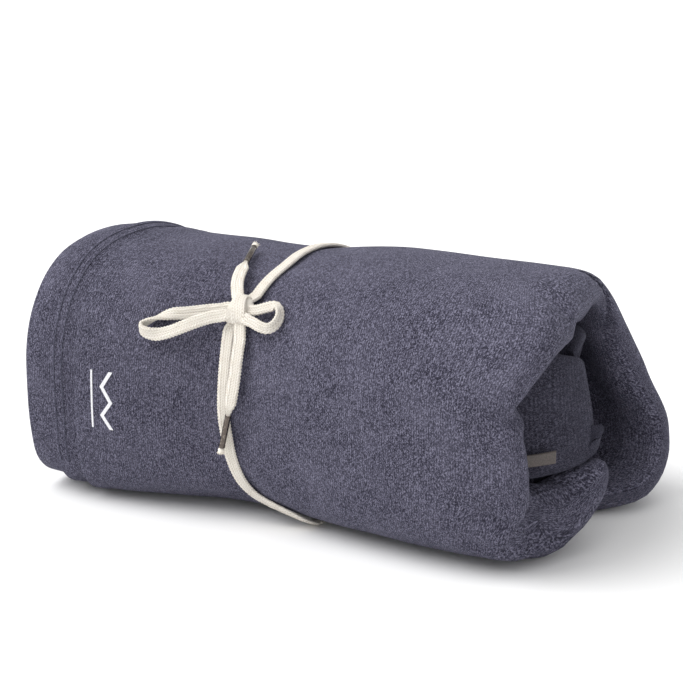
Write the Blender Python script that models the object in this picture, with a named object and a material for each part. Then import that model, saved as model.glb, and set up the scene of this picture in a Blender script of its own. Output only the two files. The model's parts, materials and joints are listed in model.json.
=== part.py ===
"""Fleece blanket, folded to a quarter of its width, rolled up and tied with a flat drawcord.

Frame: metres, +Z up, X along the roll from its hemmed end (-X) to its folded end (+X), -Y to the front.
The origin is on the surface the roll lies on, below the middle of its bounding box.
Angles around the roll are in degrees: 0 is the back, 90 the top, 180 the front and 270 the underside.
"""

import math

import bmesh
import bpy
from mathutils import Vector

MM = 0.001

# Driving dimensions of the roll.
HEM_EDGE = -162 * MM          # outer layer's hemmed edge
SECOND_EDGE = -182 * MM       # hem of the layer below, which stands out further
INNER_EDGE = -206 * MM        # innermost layer, the left end of the roll
CORE_TIP = 193 * MM           # rounded end of the inner turns
TIE_X = -45 * MM              # where the cord draws the roll in
ROLL_FRONT, ROLL_BACK, ROLL_TOP = 118 * MM, 110 * MM, 174.5 * MM
RIDGE_Y, WAIST_Z = -20 * MM, 81.5 * MM
SETTLE = 1.5 * MM             # how far the soft underside flattens on a table
STACK = 12 * MM               # four plies of 3 mm fleece
HEM_STACK = 4 * MM            # the stack thins to one ply and its hem at the outer edge
FOLD_PAD = 26 * MM            # how much the loose folds puff up at the back of the folded end
CAVITY = 15 * MM              # slack between the outer turn and the inner turns at the front
FOLD_REACH = [192, 176, 173, 177, 176, 161, 176, 194]   # folded edge's X every 45 degrees, in mm
TAIL_ANGLE, JOIN_ANGLE = 0, 352   # where the outer turn starts, and where it dives under itself
ANGLE_STEP = 8
GAP = 0.4 * MM
SLACK = 2.2 * MM              # between the outer turn and the turns inside it
# Stations along the roll that both parts of the blanket share, in mm.
BODY_STATIONS = [-160, -155, -148, -122, -92, -79, -66, -54, -45, -36, -22, -4, 18, 36, 49, 62, 105]

# Driving dimensions of the cord, its metal tips, the stitching, the print and the label.
CORD_WIDTH, CORD_THICK = 8.8 * MM, 3.0 * MM
CORD_LIFT = CORD_THICK / 2 + 1.2 * GAP
AGLET_LENGTH, AGLET_RADIUS, AGLET_WALL = 25 * MM, 2.1 * MM, 0.35 * MM
THREAD_RADIUS, NEEDLE_GAP = 0.4 * MM, 6 * MM
STITCH_END = 218              # where the hems go under the roll
INK, LABEL_THICK = 0.3 * MM, 1.2 * MM
KNOT_CENTRE = Vector((-45.5, -86.5, 150.5)) * MM

# The roll is drawn about its tie; this moves it so that the origin is below the middle of its box.
PLACE = Vector((5.5, 3.8, 0)) * MM

collection = None
base = None


# ---------------------------------------------------------------- maths

def bump(x, centre, width):
    """Bell curve of height 1."""
    return math.exp(-((x - centre) / width) ** 2)


def rise(x, start, end):
    """Smooth step from 0 at start to 1 at end."""
    t = min(max((x - start) / (end - start), 0), 1)
    return t * t * (3 - 2 * t)


def around(values, angle):
    """Smooth closed curve through values spaced evenly around the roll."""
    step = 360 / len(values)
    turn = (angle % 360) / step
    i, t = int(turn), turn - int(turn)
    a, b, c, d = (values[(i + k) % len(values)] for k in (-1, 0, 1, 2))
    return b + 0.5 * t * (c - a + t * (2 * a - 5 * b + 4 * c - d + t * (3 * (b - c) + d - a)))


def smooth_path(points, spacing):
    """Catmull-Rom curve through the route's points, sampled at about the given spacing."""
    ends = [points[0] * 2 - points[1]] + list(points) + [points[-1] * 2 - points[-2]]
    path = []
    for a, b, c, d in zip(ends, ends[1:], ends[2:], ends[3:]):
        steps = max(1, round((c - b).length / spacing))
        for k in range(steps):
            t = k / steps
            path.append(b + 0.5 * t * (c - a + t * (2 * a - 5 * b + 4 * c - d + t * (3 * (b - c) + d - a))))
    return path + [points[-1]]


# ---------------------------------------------------------------- the roll's outer surface

def roll_point(x, angle, depth=0.0):
    """Point on the roll's outer surface, or depth metres inside it."""
    tie = bump(x, TIE_X, 52 * MM)
    flare = bump(x, -188 * MM, 20 * MM)
    front = ROLL_FRONT - 15.5 * MM * tie + 1.5 * MM * flare - 4 * MM * bump(x, 25 * MM, 45 * MM)
    back = ROLL_BACK - 12 * MM * tie + 3 * MM * flare
    top = (ROLL_TOP + 8.5 * MM * rise(x, -60 * MM, 30 * MM) - MM * tie + 7 * MM * flare
           - 7 * MM * rise(x, 150 * MM, 200 * MM))
    ridge = RIDGE_Y + 6 * MM * tie
    waist = WAIST_Z + 5 * MM * rise(x, -60 * MM, 140 * MM)
    c, s = math.cos(math.radians(angle)), math.sin(math.radians(angle))
    to_front, to_top = 1 / (1 + math.exp(7 * c)), 1 / (1 + math.exp(-7 * s))
    front_power = to_top * (2.6 - 0.25 * tie) + (1 - to_top) * (3.5 + 1.1 * bump(x, -165 * MM, 45 * MM) - 0.5 * tie)
    back_power = to_top * (2.15 - 0.75 * rise(x, 140 * MM, 190 * MM)) + (1 - to_top) * 3.2
    power = to_front * front_power + (1 - to_front) * back_power
    across = (back - ridge if c > 0 else front + ridge) - depth
    upright = (top - waist if s > 0 else waist) - depth
    reach = (abs(c) ** power + abs(s) ** power) ** (-1 / power)
    lowest = depth + 4 * MM * (rise(x, -92 * MM, -66 * MM) - rise(x, 36 * MM, 62 * MM))
    return Vector((x, ridge + across * reach * c, max(waist + upright * reach * s - SETTLE, lowest)))


def roll_normal(x, angle):
    """Outward normal of the outer surface."""
    along = roll_point(x + MM, angle) - roll_point(x - MM, angle)
    round_it = roll_point(x, angle + 1) - roll_point(x, angle - 1)
    return round_it.cross(along).normalized()


def fold_edge(angle):
    """X of the folded edge of the outer turn."""
    return around(FOLD_REACH, angle) * MM


def stack_depth(x, angle):
    """Thickness of the folded stack in the outer turn, from its outer face inwards."""
    back = bump((angle + 180) % 360 - 180, 0, 55)
    edge = fold_edge(angle)
    hem = rise(-x, -HEM_EDGE - 14 * MM, -HEM_EDGE)
    return STACK - (STACK - HEM_STACK) * hem + FOLD_PAD * back * rise(x, edge - 55 * MM, edge - 18 * MM)


# ---------------------------------------------------------------- making objects

def material(name, colour, roughness, metallic=0.0):
    """Principled material of one colour."""
    result = bpy.data.materials.new(name)
    result.use_nodes = True
    shader = result.node_tree.nodes["Principled BSDF"]
    shader.inputs["Base Color"].default_value = (*colour, 1)
    shader.inputs["Roughness"].default_value = roughness
    shader.inputs["Metallic"].default_value = metallic
    return result


def add(name, mesh, surface):
    """Link a mesh or a curve as a named part."""
    part = bpy.data.objects.new(name, mesh)
    part.data.materials.append(surface)
    part.parent = base
    collection.objects.link(part)
    return part


def loft(name, rings, surface, closed=False):
    """Solid through rings of equal length; its ends are capped unless the rings themselves close up."""
    bm = bmesh.new()
    loops = [[bm.verts.new(p) for p in ring] for ring in rings]
    pairs = list(zip(loops, loops[1:]))
    if closed:
        pairs.append((loops[-1], loops[0]))
    for low, high in pairs:
        for i in range(len(low)):
            j = (i + 1) % len(low)
            bm.faces.new((low[i], low[j], high[j], high[i]))
    if not closed:
        bm.faces.new(loops[0])
        bm.faces.new(loops[-1])
    bmesh.ops.recalc_face_normals(bm, faces=bm.faces)
    mesh = bpy.data.meshes.new(name)
    bm.to_mesh(mesh)
    bm.free()
    mesh.shade_smooth()
    mesh.set_sharp_from_angle(angle=math.radians(40))
    return add(name, mesh, surface)


def flat_cord(name, path, normals, surface, width=CORD_WIDTH, thick=CORD_THICK):
    """Flat braided cord along a path, with its flat side towards the normals."""
    half, up = width / 2, thick / 2
    profile = [(half, -up / 2), (half, up / 2), (half - up * 0.7, up), (up * 0.7 - half, up),
               (-half, up / 2), (-half, -up / 2), (up * 0.7 - half, -up), (half - up * 0.7, -up)]
    rings = []
    for i, centre in enumerate(path):
        ahead = path[min(i + 1, len(path) - 1)] - path[max(i - 1, 0)]
        side = ahead.cross(normals[i]).normalized()
        face = side.cross(ahead).normalized()
        rings.append([centre + side * u + face * v for u, v in profile])
    return loft(name, rings, surface)


def routed_cord(name, route, surface, **sizes):
    """Flat cord through hand-placed points, each with the direction its flat side faces."""
    path = smooth_path([Vector(point) * MM for point, _ in route], 4 * MM)
    facing = smooth_path([Vector(normal) for _, normal in route], 1)
    span = (len(facing) - 1) / (len(path) - 1)
    normals = [facing[round(i * span)] for i in range(len(path))]
    return flat_cord(name, path, normals, surface, **sizes)


def thread(name, x, depth, start, end, surface):
    """Row of stitching around the roll, as one fine tube."""
    curve = bpy.data.curves.new(name, "CURVE")
    curve.dimensions = "3D"
    curve.bevel_depth = THREAD_RADIUS
    curve.bevel_resolution = 2
    curve.use_fill_caps = True
    count = 34
    spline = curve.splines.new("POLY")
    spline.points.add(count - 1)
    for i, point in enumerate(spline.points):
        angle = start + (end - start) * i / (count - 1)
        point.co = (*roll_point(x, angle, depth), 1)
    return add(name, curve, surface)


# ---------------------------------------------------------------- the blanket

def outer_turn(surface):
    """Outermost turn of the folded stack, a C around the roll with a rounded, puffed fold at its right edge."""
    rings = []
    for angle in range(TAIL_ANGLE, JOIN_ANGLE + 1, ANGLE_STEP):
        edge = fold_edge(angle)
        nose = stack_depth(edge, angle) * 0.45
        stations = [HEM_EDGE] + [x * MM for x in BODY_STATIONS]
        stations += [edge - inward * MM for inward in (46, 36, 26) if inward * MM > nose + 3 * MM]
        while len(stations) < len(BODY_STATIONS) + 5:
            stations.append((stations[-1] + edge - nose) / 2)
        outer = [roll_point(x, angle) for x in stations]
        inner = [roll_point(x, angle, stack_depth(x, angle)) for x in stations]
        for turn in (25, 55, 80):
            x = edge - nose + nose * math.sin(math.radians(turn))
            shrink = (1 - math.cos(math.radians(turn))) * stack_depth(x, angle) / 2
            outer.append(roll_point(x, angle, shrink))
            inner.append(roll_point(x, angle, stack_depth(x, angle) - shrink))
        rings.append(outer + inner[::-1])
    return loft("blanket_outer_turn", rings, surface)


def inner_depth(x, angle):
    """Depth of the inner turns' surface below the roll's outer surface."""
    if x < HEM_EDGE - GAP:
        step_down = 3 * MM if x < SECOND_EDGE - GAP else 0
        start = SECOND_EDGE if x < SECOND_EDGE - GAP else HEM_EDGE
        return step_down + 2.5 * MM * (1 - rise(start - x, 0, 16 * MM))
    front = bump(angle, 170, 62)
    pad = stack_depth(x, angle) - STACK
    return stack_depth(x, angle) + SLACK + max(0, 0.15 * pad) + CAVITY * front * rise(x, 105 * MM, 160 * MM)


def inner_turns(surface):
    """The turns inside the outer one: two stepped hem edges on the left, a rounded end on the right."""
    stations = [INNER_EDGE, -202 * MM, SECOND_EDGE - 2 * GAP, SECOND_EDGE + GAP, -175 * MM,
                HEM_EDGE - 2 * GAP, HEM_EDGE] + [x * MM for x in BODY_STATIONS]
    stations += [x * MM for x in (116, 128, 138, 147, 156, 165, 173, 180, 186, 190, 192)]
    angles = range(0, 360, ANGLE_STEP)
    heart = Vector((0, -32, 76)) * MM
    dome_start = 112 * MM
    rings = []
    for x in stations:
        across = max(0, (x - dome_start) / (CORE_TIP - dome_start))
        scale = (1 - across ** 2.8) ** (1 / 2.8)
        centre = Vector((x, heart.y, heart.z))
        ring = [roll_point(x, angle, inner_depth(x, angle)) for angle in angles]
        rings.append([centre + (p - centre) * scale for p in ring])
    for inset, scale in ((4, 0.93), (9, 0.7), (11, 0.35)):
        centre = Vector((INNER_EDGE, heart.y + 20 * MM, heart.z))
        ring = [centre + (p - centre) * scale for p in rings[-len(stations)]]
        rings.insert(0, [p + Vector((inset * MM, 0, 0)) for p in ring])
    return loft("blanket_inner_turns", rings, surface)


def stitching(surface):
    """Twin-needle rows that hold the two visible hems, down to where the roll touches the table."""
    lift = THREAD_RADIUS + GAP
    for row, offset in enumerate((3 * MM, 3 * MM + NEEDLE_GAP), start=1):
        thread(f"hem_stitch_outer_{row}", HEM_EDGE + offset, -lift, 12, STITCH_END, surface)
        x = SECOND_EDGE + offset
        thread(f"hem_stitch_inner_{row}", x, inner_depth(x, 90) - lift, 12, STITCH_END, surface)


def printed_mark(surface):
    """Plain zigzag and rule printed on the outer layer."""
    zigzag, rule = [], []
    for step in range(33):
        angle = 167 + 27 * step / 32
        swing = abs((step / 8) % 2 - 1) - 0.5
        zigzag.append((HEM_EDGE + (26 + 7 * swing) * MM, 1.6 * MM, angle))
        rule.append((HEM_EDGE + 14.5 * MM, 0.7 * MM, angle))
    for name, strokes in (("print_zigzag", zigzag), ("print_rule", rule)):
        rings = []
        for x, half, angle in strokes:
            low, high = -GAP, -GAP - INK
            rings.append([roll_point(x - half, angle, low), roll_point(x + half, angle, low),
                          roll_point(x + half, angle, high), roll_point(x - half, angle, high)])
        loft(name, rings, surface)


def care_label(surface):
    """Blank folded label sewn in the slack between the outer and the inner turns."""
    rings = []
    for x in (158, 164, 170, 176, 181):
        root = roll_point(x * MM, 191, 0)
        base = root + Vector((0, 21 + 0.05 * (x - 158) ** 1.6, 0)) * MM
        rings.append([base + Vector((0, 0, -5)) * MM, base + Vector((0, 0, 5)) * MM,
                      base + Vector((0, -LABEL_THICK / MM, 5)) * MM, base + Vector((0, -LABEL_THICK / MM, -5)) * MM])
    return loft("care_label", rings, surface)


# ---------------------------------------------------------------- the cord

# The tie's route around the roll: angle and X in mm, from below the knot, under the roll and back to the knot.
WRAP_ROUTE = [(145, -51.5), (155, -50), (165, -49.5), (179, -49.5), (190, -47.5), (200, -45), (211, -40), (218, -33),
              (222, -24), (225, -12), (229, -1), (240, 5), (262, 3), (285, -3), (315, -12), (340, -20), (0, -25),
              (20, -29), (45, -33), (65, -36), (79, -36.5), (95, -35.5), (108, -34.5), (120, -38), (129, -40.5)]
# Other routes: points in mm, each with the direction that the cord's flat side faces.
LOWER_TAIL = [((-42, -93.8, 139.5), (0, -0.85, 0.52)), ((-40, -97.5, 133), (0, -0.9, 0.43)),
              ((-39.4, -100.6, 127), (0, -0.93, 0.37)), ((-39.2, -104, 117), (0, -0.96, 0.25)),
              ((-39.3, -106.2, 108), (0, -0.98, 0.19)), ((-40.2, -108, 98), (0, -1, 0.08)),
              ((-41.6, -109, 89), (0, -1, 0)), ((-42.6, -109.2, 83.5), (0, -1, 0))]
LOWER_AGLET = (Vector((-42.7, -109.2, 83.2)) * MM, Vector((-0.22, -0.01, -0.975)).normalized())
UPPER_TAIL = [((-50.5, -81.5, 158.5), (0, -0.68, 0.73)), ((-54.5, -75.5, 163.4), (0.06, -0.58, 0.81)),
              ((-57.2, -69.5, 166.5), (0.07, -0.5, 0.86)), ((-59.3, -63, 168.9), (0.07, -0.42, 0.9)),
              ((-61.3, -56, 170.8), (0.07, -0.34, 0.94)), ((-62.8, -50, 172), (0.06, -0.28, 0.96))]
UPPER_AGLET = (Vector((-62.9, -49.7, 172.1)) * MM, Vector((-0.28, 0.94, 0.19)).normalized())
LEFT_LOOP = [((-54.5, -87.2, 150.2), (0.05, -0.7, 0.1)), ((-60, -87.6, 149.4), (0.1, -0.74, 0.2)),
             ((-68, -88.8, 148.6), (0.2, -0.75, 0.3)), ((-76, -91.1, 147.4), (0.25, -0.75, 0.3)),
             ((-84, -94.4, 146), (0.25, -0.77, 0.3)), ((-92, -98.5, 144), (0.25, -0.8, 0.3)),
             ((-100, -102.8, 141.8), (0.2, -0.85, 0.3)), ((-106, -106.8, 139.2), (-0.4, -0.8, 0.2)),
             ((-109, -110.4, 136.8), (-1, -0.3, 0.1)), ((-107.5, -113.6, 134.8), (-0.7, -0.8, 0.1)),
             ((-102, -114.6, 133.4), (0.1, -0.95, 0.3)), ((-95, -112.8, 133), (0.25, -0.9, 0.35)),
             ((-87, -109.8, 134), (0.25, -0.88, 0.4)), ((-79, -106, 137), (0.25, -0.85, 0.4)),
             ((-70, -101, 140.6), (0.22, -0.82, 0.45)), ((-62, -97.2, 143.6), (0.15, -0.8, 0.5)),
             ((-55.2, -95, 145.8), (0.05, -0.8, 0.5))]
RIGHT_LOOP = [((-37, -88.6, 151.6), (-0.1, -0.6, 0.5)), ((-32, -88.6, 152.2), (-0.15, -0.65, 0.5)),
              ((-26, -87.4, 154.2), (-0.2, -0.7, 0.5)), ((-20.5, -86.6, 156), (-0.1, -0.75, 0.5)),
              ((-16.2, -87, 156), (0.4, -0.5, 0.5)), ((-13.4, -89.3, 153.4), (0.9, -0.2, 0.3)),
              ((-12.6, -92.6, 149.6), (0.9, -0.5, 0.1)), ((-14.4, -96, 145.8), (0.6, -0.9, 0)),
              ((-18.4, -98, 143.8), (0, -0.95, 0.3)), ((-24, -98, 144.4), (-0.15, -0.9, 0.45)),
              ((-30, -96.8, 146), (-0.15, -0.85, 0.5)), ((-35.6, -95.4, 147.2), (-0.1, -0.8, 0.55))]


def tie_wrap(surface):
    """Run of the cord that holds the roll, once around it and tight on the cloth."""
    unwound = [angle if angle > 140 else angle + 360 for angle, _ in WRAP_ROUTE]
    route = smooth_path([Vector((x * MM, angle, 0)) for angle, (_, x) in zip(unwound, WRAP_ROUTE)], 5.5)
    path = [roll_point(p.x, p.y, -CORD_LIFT) for p in route]
    return flat_cord("tie_wrap", path, [roll_normal(p.x, p.y) for p in route], surface)


def knot(surface):
    """Body of the bow knot, a rounded lump that the loops and tails come out of."""
    bpy.ops.mesh.primitive_uv_sphere_add(segments=24, ring_count=14, radius=1, location=KNOT_CENTRE)
    part = bpy.context.object
    part.name = part.data.name = "bow_knot"
    part.scale = (7.2 * MM, 4.6 * MM, 8.6 * MM)
    part.rotation_euler = (math.radians(-41), 0, 0)
    bpy.ops.object.transform_apply(location=False, rotation=True, scale=True)
    part.data.shade_smooth()
    part.data.materials.append(surface)
    for owner in list(part.users_collection):
        owner.objects.unlink(part)
    collection.objects.link(part)
    part.parent = base
    return part


def turned(name, mouth, direction, profile, surface):
    """Round part along a direction, turned from (distance, radius) pairs; the profile's ends join up."""
    side = direction.orthogonal().normalized()
    other = direction.cross(side)
    spokes = [side * math.cos(math.tau * k / 16) + other * math.sin(math.tau * k / 16) for k in range(16)]
    rings = [[mouth + direction * (along * MM) + spoke * (radius * MM) for along, radius in profile]
             for spoke in spokes]
    return loft(name, rings, surface, closed=True)


def cord_end(side, mouth, direction, metal, cotton):
    """Metal tube crimped on the cord, and the cord's end, which passes through it and frays out beyond it."""
    length, radius, wall = AGLET_LENGTH / MM, AGLET_RADIUS / MM, AGLET_WALL / MM
    bore = radius - wall
    turned(f"aglet_{side}", mouth, direction,
           [(0.6, bore), (0.6, radius), (1.2, radius + 0.12), (2, radius), (length - 1.4, radius),
            (length - 0.7, radius + 0.12), (length, radius), (length, bore)], metal)
    core = bore - 0.35
    shape = [(0.6, core), (length + 0.6, core), (length + 1, core * 1.6), (length + 2.2, core * 2),
             (length + 3.6, core * 1.7), (length + 4.4, core * 0.9)]
    side_way = direction.orthogonal().normalized()
    other = direction.cross(side_way)
    rings = [[mouth + direction * (along * MM) + (side_way * math.cos(math.tau * k / 12)
              + other * math.sin(math.tau * k / 12)) * (radius_here * MM) for k in range(12)]
             for along, radius_here in shape]
    loft(f"cord_end_{side}", rings, cotton)


# ---------------------------------------------------------------- assembly

def main():
    """Clear the file and build every part in one collection."""
    global collection, base
    for old in list(bpy.data.objects):
        bpy.data.objects.remove(old)
    collection = bpy.data.collections.new("rolled_blanket")
    bpy.context.scene.collection.children.link(collection)
    base = bpy.data.objects.new("blanket_place", None)
    base.location = PLACE
    collection.objects.link(base)
    fleece = material("fleece", (0.085, 0.09, 0.14), 0.95)
    cotton = material("cotton_cord", (0.82, 0.78, 0.68), 0.9)
    yarn = material("stitching_thread", (0.07, 0.075, 0.12), 0.8)
    ink = material("print_ink", (0.85, 0.85, 0.86), 0.7)
    satin = material("label_satin", (0.3, 0.25, 0.23), 0.5)
    nickel = material("dark_nickel", (0.32, 0.28, 0.25), 0.28, 1.0)
    outer_turn(fleece)
    inner_turns(fleece)
    stitching(yarn)
    printed_mark(ink)
    care_label(satin)
    tie_wrap(cotton)
    knot(cotton)
    routed_cord("tail_lower", LOWER_TAIL, cotton)
    routed_cord("tail_upper", UPPER_TAIL, cotton)
    routed_cord("bow_loop_left", LEFT_LOOP, cotton)
    routed_cord("bow_loop_right", RIGHT_LOOP, cotton, width=7.6 * MM, thick=2.6 * MM)
    cord_end("lower", *LOWER_AGLET, nickel, cotton)
    cord_end("upper", *UPPER_AGLET, nickel, cotton)


main()
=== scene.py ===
"""Looks of the rolled fleece blanket and its drawcord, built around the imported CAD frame.

The cloth is one throw-sized sheet, folded to a quarter of its width and rolled up, so every ply and
every turn of it is there. The cord is a flat braid that runs once around the roll and is tied in a bow.

Frame: metres, +Z up, X along the roll from its hemmed end (-X) to its folded end (+X), -Y to the front.
Angles around the roll are in degrees: 0 is the back, 90 the top, 180 the front and 270 the underside.
"""

import json
import logging
import math
from dataclasses import dataclass, field
from enum import Enum
from typing import Callable, Sequence

import bmesh
import bpy
from mathutils import Matrix, Vector, noise

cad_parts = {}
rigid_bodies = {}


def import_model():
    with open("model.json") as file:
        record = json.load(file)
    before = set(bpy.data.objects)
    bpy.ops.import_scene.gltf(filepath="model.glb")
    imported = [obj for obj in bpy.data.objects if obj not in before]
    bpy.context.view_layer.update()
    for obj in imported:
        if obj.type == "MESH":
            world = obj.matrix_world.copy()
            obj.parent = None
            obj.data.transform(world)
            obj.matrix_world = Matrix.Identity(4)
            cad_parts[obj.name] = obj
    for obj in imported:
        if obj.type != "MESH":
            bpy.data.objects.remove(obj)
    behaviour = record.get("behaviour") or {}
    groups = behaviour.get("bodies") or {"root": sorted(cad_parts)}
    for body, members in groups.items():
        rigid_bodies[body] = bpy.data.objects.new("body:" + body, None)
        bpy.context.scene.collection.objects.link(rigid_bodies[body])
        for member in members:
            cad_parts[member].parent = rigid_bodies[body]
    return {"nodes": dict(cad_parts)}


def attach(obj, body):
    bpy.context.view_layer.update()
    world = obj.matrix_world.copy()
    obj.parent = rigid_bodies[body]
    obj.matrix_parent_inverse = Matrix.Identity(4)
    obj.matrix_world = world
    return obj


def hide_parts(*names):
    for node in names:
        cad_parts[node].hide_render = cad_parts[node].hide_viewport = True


LOG = logging.getLogger("rolled_blanket")
MM = 0.001
PLACE = Vector((5.5, 3.8, 0)) * MM      # moves shapes drawn about the tie to the frame's origin
UP = Vector((0, 0, 1))

Route = Sequence[tuple[tuple[float, float, float], tuple[float, float, float]]]
Colour = tuple[float, float, float, float]
UvRule = Callable[[int, int], tuple[float, float]]


# ---------------------------------------------------------------- maths

def bump(x: float, centre: float, width: float) -> float:
    """Bell curve of height 1."""
    return math.exp(-((x - centre) / width) ** 2)


def rise(x: float, start: float, end: float) -> float:
    """Smooth step from 0 at start to 1 at end."""
    t = min(max((x - start) / (end - start), 0.0), 1.0)
    return t * t * (3 - 2 * t)


def mix(a: float, b: float, share: float) -> float:
    """Value between a, at share 0, and b, at share 1."""
    return a + (b - a) * share


def spread(start: float, end: float, count: int) -> list[float]:
    """Evenly spaced values from start to end, both included."""
    return [start + (end - start) * i / (count - 1) for i in range(count)]


def back_angle(angle: float) -> float:
    """Angle from the back of the roll, from -180 to 180 degrees."""
    return (angle + 180) % 360 - 180


def around(values: Sequence[float], angle: float) -> float:
    """Smooth closed curve through values spaced evenly around the roll.

    Args:
        values: Values from angle 0 on.
        angle: Where to read the curve, in degrees.

    Returns:
        The curve's value there.
    """
    step = 360 / len(values)
    turn = (angle % 360) / step
    i, t = int(turn), turn - int(turn)
    a, b, c, d = (values[(i + k) % len(values)] for k in (-1, 0, 1, 2))
    return b + 0.5 * t * (c - a + t * (2 * a - 5 * b + 4 * c - d + t * (3 * (b - c) + d - a)))


def smooth_path(points: Sequence[Vector], spacing: float) -> list[Vector]:
    """Catmull-Rom curve through points, sampled at about the given spacing.

    Args:
        points: The points that the curve runs through.
        spacing: Distance between samples.

    Returns:
        The samples, with both end points.
    """
    ends = [points[0] * 2 - points[1]] + list(points) + [points[-1] * 2 - points[-2]]
    path = []
    for a, b, c, d in zip(ends, ends[1:], ends[2:], ends[3:]):
        steps = max(1, round((c - b).length / spacing))
        for k in range(steps):
            t = k / steps
            path.append(b + 0.5 * t * (c - a + t * (2 * a - 5 * b + 4 * c - d + t * (3 * (b - c) + d - a))))
    return path + [points[-1]]


def path_length(path: Sequence[Vector]) -> float:
    """Length of a path in metres."""
    return sum((b - a).length for a, b in zip(path, path[1:]))


# ---------------------------------------------------------------- the roll's outer surface

@dataclass(frozen=True)
class Roll:
    """Outer surface of the roll, drawn in where the cord ties it. Sizes in metres."""

    tie_x: float = -45 * MM
    front: float = 118 * MM
    back: float = 110 * MM
    top: float = 174.5 * MM
    ridge_y: float = -20 * MM
    waist_z: float = 81.5 * MM
    settle: float = 1.5 * MM
    even: float = 50 * MM       # depth down to which every side moves in alike
    heart: float = 98 * MM      # depth of the middle

    def point(self, x: float, angle: float, depth: float = 0.0) -> Vector:
        """Point on the outer surface, or inside it.

        Args:
            x: Place along the roll.
            angle: Angle around it, in degrees.
            depth: Distance inside the surface.

        Returns:
            The point, in the object's frame.
        """
        tie = bump(x, self.tie_x, 52 * MM)
        flare = bump(x, -188 * MM, 20 * MM)
        front = self.front - 15.5 * MM * tie + 1.5 * MM * flare - 4 * MM * bump(x, 25 * MM, 45 * MM)
        back = self.back - 12 * MM * tie + 3 * MM * flare
        top = (self.top + 8.5 * MM * rise(x, -60 * MM, 30 * MM) - MM * tie + 7 * MM * flare
               - 7 * MM * rise(x, 150 * MM, 200 * MM))
        ridge = self.ridge_y + 6 * MM * tie
        waist = self.waist_z + 5 * MM * rise(x, -60 * MM, 140 * MM)
        c, s = math.cos(math.radians(angle)), math.sin(math.radians(angle))
        to_front, to_top = 1 / (1 + math.exp(7 * c)), 1 / (1 + math.exp(-7 * s))
        low_power = 3.5 + 1.1 * bump(x, -165 * MM, 45 * MM) - 0.5 * tie
        front_power = mix(low_power, 2.6 - 0.25 * tie, to_top)
        back_power = mix(3.2, 2.15 - 0.75 * rise(x, 140 * MM, 190 * MM), to_top)
        power = mix(back_power, front_power, to_front)
        across = self.inward(back - ridge if c > 0 else front + ridge, depth)
        upright = self.inward(top - waist if s > 0 else waist, depth)
        reach = (abs(c) ** power + abs(s) ** power) ** (-1 / power)
        lowest = depth + 4 * MM * (rise(x, -92 * MM, -66 * MM) - rise(x, 36 * MM, 62 * MM))
        height = max(waist + upright * reach * s - self.settle, lowest)
        return Vector((x, ridge + across * reach * c, height)) + PLACE

    def inward(self, full: float, depth: float) -> float:
        """Half size of the roll at a depth, which reaches nothing only at its heart."""
        even = min(depth, self.even)
        return (full - even) * (1 - (depth - even) / (self.heart - even))

    def normal(self, x: float, angle: float) -> Vector:
        """Outward normal of the outer surface."""
        along = self.point(x + MM, angle) - self.point(x - MM, angle)
        round_it = self.point(x, angle + 1) - self.point(x, angle - 1)
        return round_it.cross(along).normalized()


ROLL = Roll()


# ---------------------------------------------------------------- making pieces

def deselect() -> None:
    """Leave edit mode, with nothing selected."""
    if bpy.context.object and bpy.context.object.mode != "OBJECT":
        bpy.ops.object.mode_set(mode="OBJECT")
    bpy.ops.object.select_all(action="DESELECT")


def activate(piece: bpy.types.Object) -> None:
    """Make one object the only selected one and the active one."""
    deselect()
    piece.select_set(True)
    bpy.context.view_layer.objects.active = piece


def add_mesh(name: str, bm: bmesh.types.BMesh, sharp: float = 40) -> bpy.types.Object:
    """Make an object of a bmesh, with smooth shading up to an angle.

    Args:
        name: Name of the piece and its mesh.
        bm: The shape, which is freed here.
        sharp: Largest angle in degrees that is still shaded smooth.

    Returns:
        The new object.
    """
    mesh = bpy.data.meshes.new(name)
    bm.to_mesh(mesh)
    bm.free()
    mesh.shade_smooth()
    mesh.set_sharp_from_angle(angle=math.radians(sharp))
    piece = bpy.data.objects.new(name, mesh)
    bpy.context.scene.collection.objects.link(piece)
    return piece


def grid_mesh(name: str, rows: Sequence[Sequence[Vector]], uvs: UvRule | None = None, closed_rows: bool = False,
              capped: bool = False, sharp: float = 40) -> bpy.types.Object:
    """Skin rows of points of equal length.

    Args:
        name: Name of the piece.
        rows: The rows of points.
        uvs: Function from row and column to a UV in metres, where the pattern follows the surface.
        closed_rows: Whether each row is a ring.
        capped: Whether the first and the last ring are filled.
        sharp: Largest smooth angle in degrees.

    Returns:
        The new object, with its faces pointing outwards where it is closed.
    """
    bm = bmesh.new()
    layer = bm.loops.layers.uv.new("cloth") if uvs else None
    verts = [[bm.verts.new(p) for p in row] for row in rows]
    columns = len(rows[0])
    last = columns if closed_rows else columns - 1
    for r in range(len(rows) - 1):
        for c in range(last):
            d = (c + 1) % columns
            face = bm.faces.new((verts[r][c], verts[r][d], verts[r + 1][d], verts[r + 1][c]))
            if layer:
                corners = ((r, c), (r, c + 1), (r + 1, c + 1), (r + 1, c))
                for loop, (row, column) in zip(face.loops, corners):
                    loop[layer].uv = uvs(row, column)
    if capped:
        for ring in (verts[0], verts[-1]):
            cap = bm.faces.new(ring)
            if layer:
                for loop in cap.loops:
                    loop[layer].uv = uvs(0, 0)
        bmesh.ops.recalc_face_normals(bm, faces=bm.faces)
    return add_mesh(name, bm, sharp)


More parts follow.
